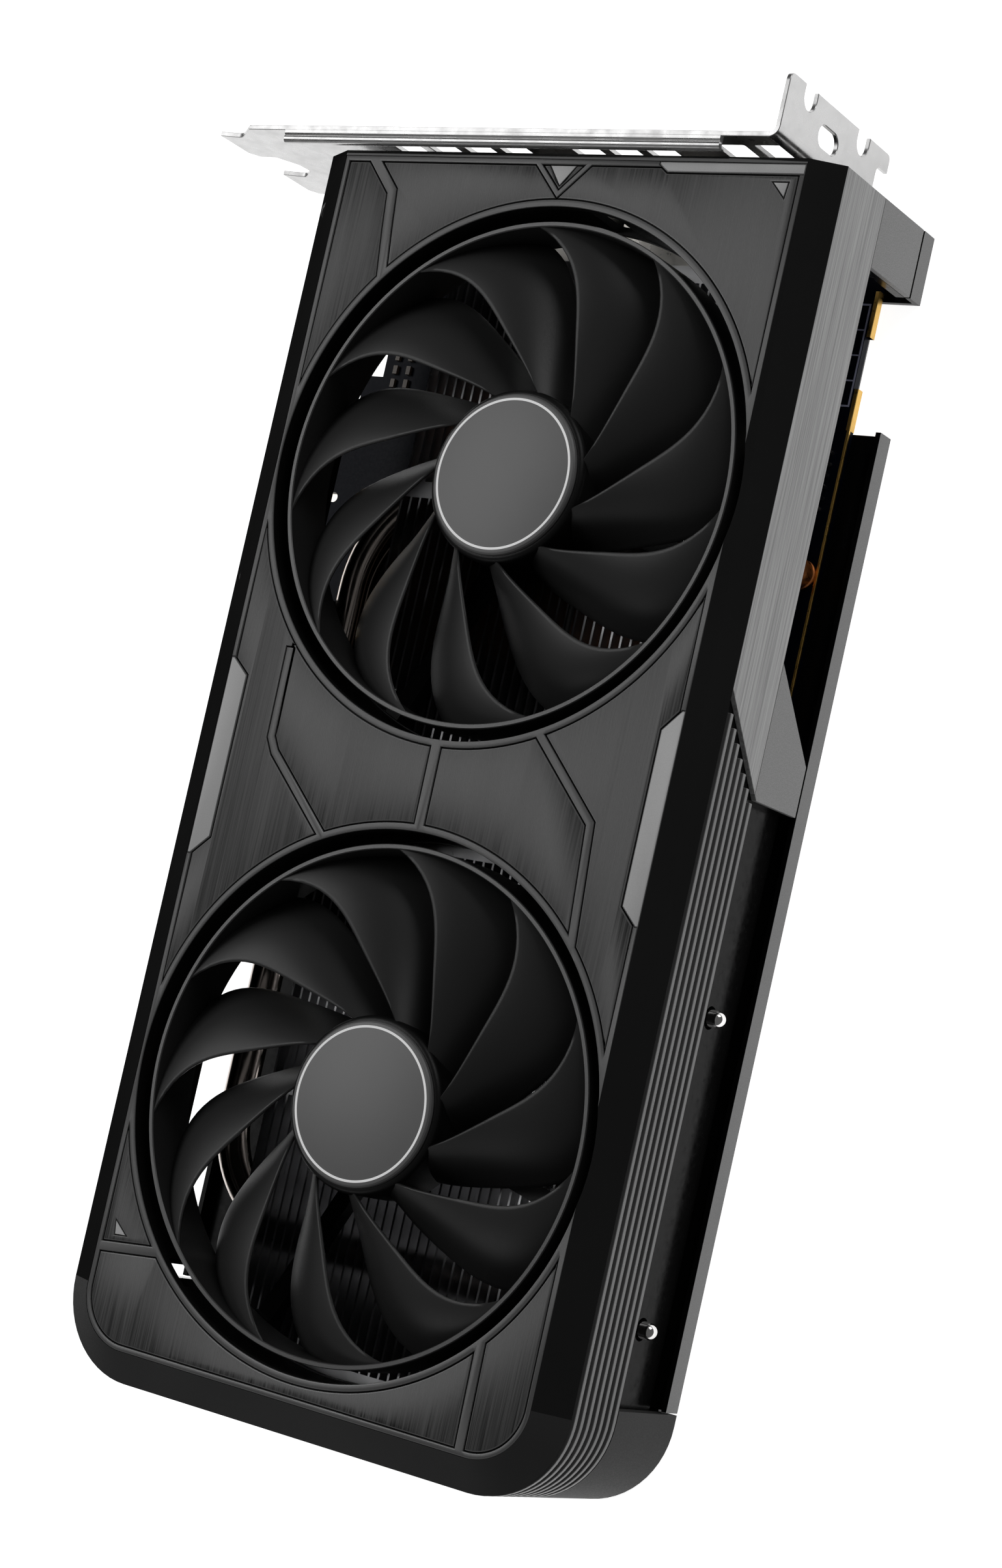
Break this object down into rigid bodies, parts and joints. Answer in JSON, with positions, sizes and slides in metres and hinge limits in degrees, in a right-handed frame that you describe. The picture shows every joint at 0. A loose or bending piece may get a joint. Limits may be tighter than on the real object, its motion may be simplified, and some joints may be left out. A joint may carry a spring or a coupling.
{
  "type": "graphics card",
  "caption": "Two-fan, two-slot graphics card with a slot bracket, edge connector, finned cooler with heat pipes, black housing and a grey backplate; both fans spin.",
  "frame": {"origin": "centre of the whole card seen from above, at the outer face of the backplate", "axes": "+X from the slot bracket to the far end, +Y from the edge connector to the trimmed side, +Z from the backplate to the fans"},
  "size_m": [0.2374, 0.1306, 0.0408],
  "materials": {
    "housing_black": "deep gloss black",
    "face_satin": "satin dark grey",
    "face_brushed": "brushed dark grey",
    "band_brushed": "brushed mid grey",
    "arm_satin": "fine-grained satin grey",
    "rib_satin": "satin grey",
    "bracket_steel": "bright nickel",
    "screw_steel": "plated",
    "screw_black": "black zinc",
    "backplate_grey": "satin powder coat",
    "board_dark": "satin solder mask",
    "contact_gold": "polished gold plating",
    "package_green": "satin laminate",
    "silicon": "polished",
    "chip_black": "matt epoxy",
    "choke_grey": "pressed powder",
    "capacitor_orange": "satin sleeve",
    "parts_tan": "ceramic bodies with tinned ends",
    "socket_white": "satin nylon",
    "port_steel": "nickel shell",
    "pad_grey": "soft matt",
    "copper": "machined copper",
    "pipe_nickel": "nickel over copper",
    "fin_aluminium": "mill finish",
    "fan_black": "matt moulded",
    "frame_black": "matt moulded",
    "cap_grey": "satin metallic",
    "bronze": "sintered bronze",
    "winding": "enamelled copper on steel",
    "magnet_dark": "bonded ferrite",
    "motor_board": "satin",
    "cable_black": "satin"
  },
  "bodies": {
    "card": {"shroud": "housing_black", "face_frame": "face_satin", "face_panels": "face_brushed", "side_band": "band_brushed", "side_arms": "arm_satin", "side_ribs": "rib_satin", "io_bracket": "bracket_steel", "bracket_screws": "screw_steel", "backplate": "backplate_grey", "backplate_screws": "screw_black", "shroud_screws": "screw_black", "circuit_board": "board_dark", "edge_contacts": "contact_gold", "gpu_package": "package_green", "gpu_die": "silicon", "memory_chips": "chip_black", "power_chokes": "choke_grey", "power_stages": "chip_black", "round_capacitors": "capacitor_orange", "small_parts": "parts_tan", "pin_header": "contact_gold", "fan_socket": "socket_white", "hdmi_port": "port_steel", "display_ports": "port_steel", "thermal_pads": "pad_grey", "cold_plate": "copper", "heat_pipe_outer": "pipe_nickel", "heat_pipe_inner": "pipe_nickel", "main_fins": "fin_aluminium", "far_fins": "fin_aluminium", "cooler_screws": "screw_steel", "cooler_brace": "screw_black", "fan_1_frame": "frame_black", "fan_1_sleeve": "bronze", "fan_1_stator": "winding", "fan_1_driver_board": "motor_board", "fan_1_cable": "cable_black", "fan_2_frame": "frame_black", "fan_2_sleeve": "bronze", "fan_2_stator": "winding", "fan_2_driver_board": "motor_board", "fan_2_cable": "cable_black"},
    "fan_1": {"fan_1_rotor": "fan_black", "fan_1_shaft": "screw_steel", "fan_1_magnet": "magnet_dark", "fan_1_cap": "cap_grey"},
    "fan_2": {"fan_2_rotor": "fan_black", "fan_2_shaft": "screw_steel", "fan_2_magnet": "magnet_dark", "fan_2_cap": "cap_grey"}
  },
  "joints": [
    {"name": "fan_1_spin", "type": "hinge", "parent": "card", "child": "fan_1", "pos_m": [-0.04865, 0.01325, 0.03], "axis": [0, 0, 1], "continuous": true},
    {"name": "fan_2_spin", "type": "hinge", "parent": "card", "child": "fan_2", "pos_m": [0.06145, 0.01325, 0.03], "axis": [0, 0, 1], "continuous": true}
  ]
}
